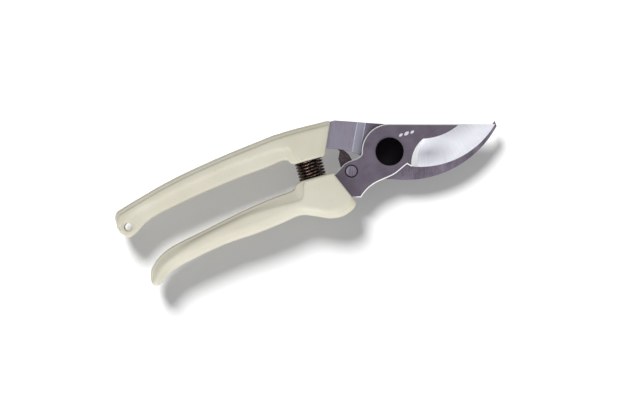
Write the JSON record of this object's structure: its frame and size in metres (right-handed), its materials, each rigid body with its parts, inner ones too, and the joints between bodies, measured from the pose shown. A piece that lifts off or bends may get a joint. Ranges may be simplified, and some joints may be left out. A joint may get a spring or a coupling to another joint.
{
  "type": "pruning shears",
  "caption": "Bypass pruning shears: a ground blade over a hooked counter blade, plastic-clad grips, coil return spring, side lock lever and a hanging hole.",
  "frame": {"origin": "middle of the underside of the whole tool, lying flat and closed", "axes": "+X to the blade tip along the length, +Y to the back of the cutting blade, +Z out of the front face"},
  "size_m": [0.1996, 0.058, 0.0185],
  "materials": {
    "blade_steel": "brushed dark grey carbon steel with a bright ground bevel",
    "hook_steel": "brushed dark grey",
    "grip_plastic": "smooth moulded cream plastic, satin",
    "spring_steel": "oil-blackened spring wire",
    "black_bolt": "satin black",
    "plain_steel": "plain zinc-grey",
    "lever_steel": "dark phosphated steel"
  },
  "bodies": {
    "hook_side": {"counter_blade": "hook_steel", "upper_grip": "grip_plastic", "pivot_bolt": "black_bolt", "pivot_washer": "plain_steel", "pivot_nut": "plain_steel", "catch_pin": "plain_steel", "return_spring": "spring_steel"},
    "blade_side": {"cutting_blade": "blade_steel", "lower_grip": "grip_plastic", "lock_rivet": "hook_steel", "lock_wave_washer": "plain_steel"},
    "lever": {"lock_lever": "lever_steel"}
  },
  "joints": [
    {"name": "blade_pivot", "type": "hinge", "parent": "hook_side", "child": "blade_side", "pos_m": [0.04375, 0.0048, 0.00925], "axis": [0, 0, 1], "range_deg": [0, 28], "stiffness_Nm_per_rad": 1.68, "springref_deg": 31.51, "deforming": ["return_spring"]},
    {"name": "lock_swing", "type": "hinge", "parent": "blade_side", "child": "lever", "pos_m": [0.02245, 0.0005, 0.00635], "axis": [0, 0, 1], "range_deg": [-10, 5]}
  ]
}
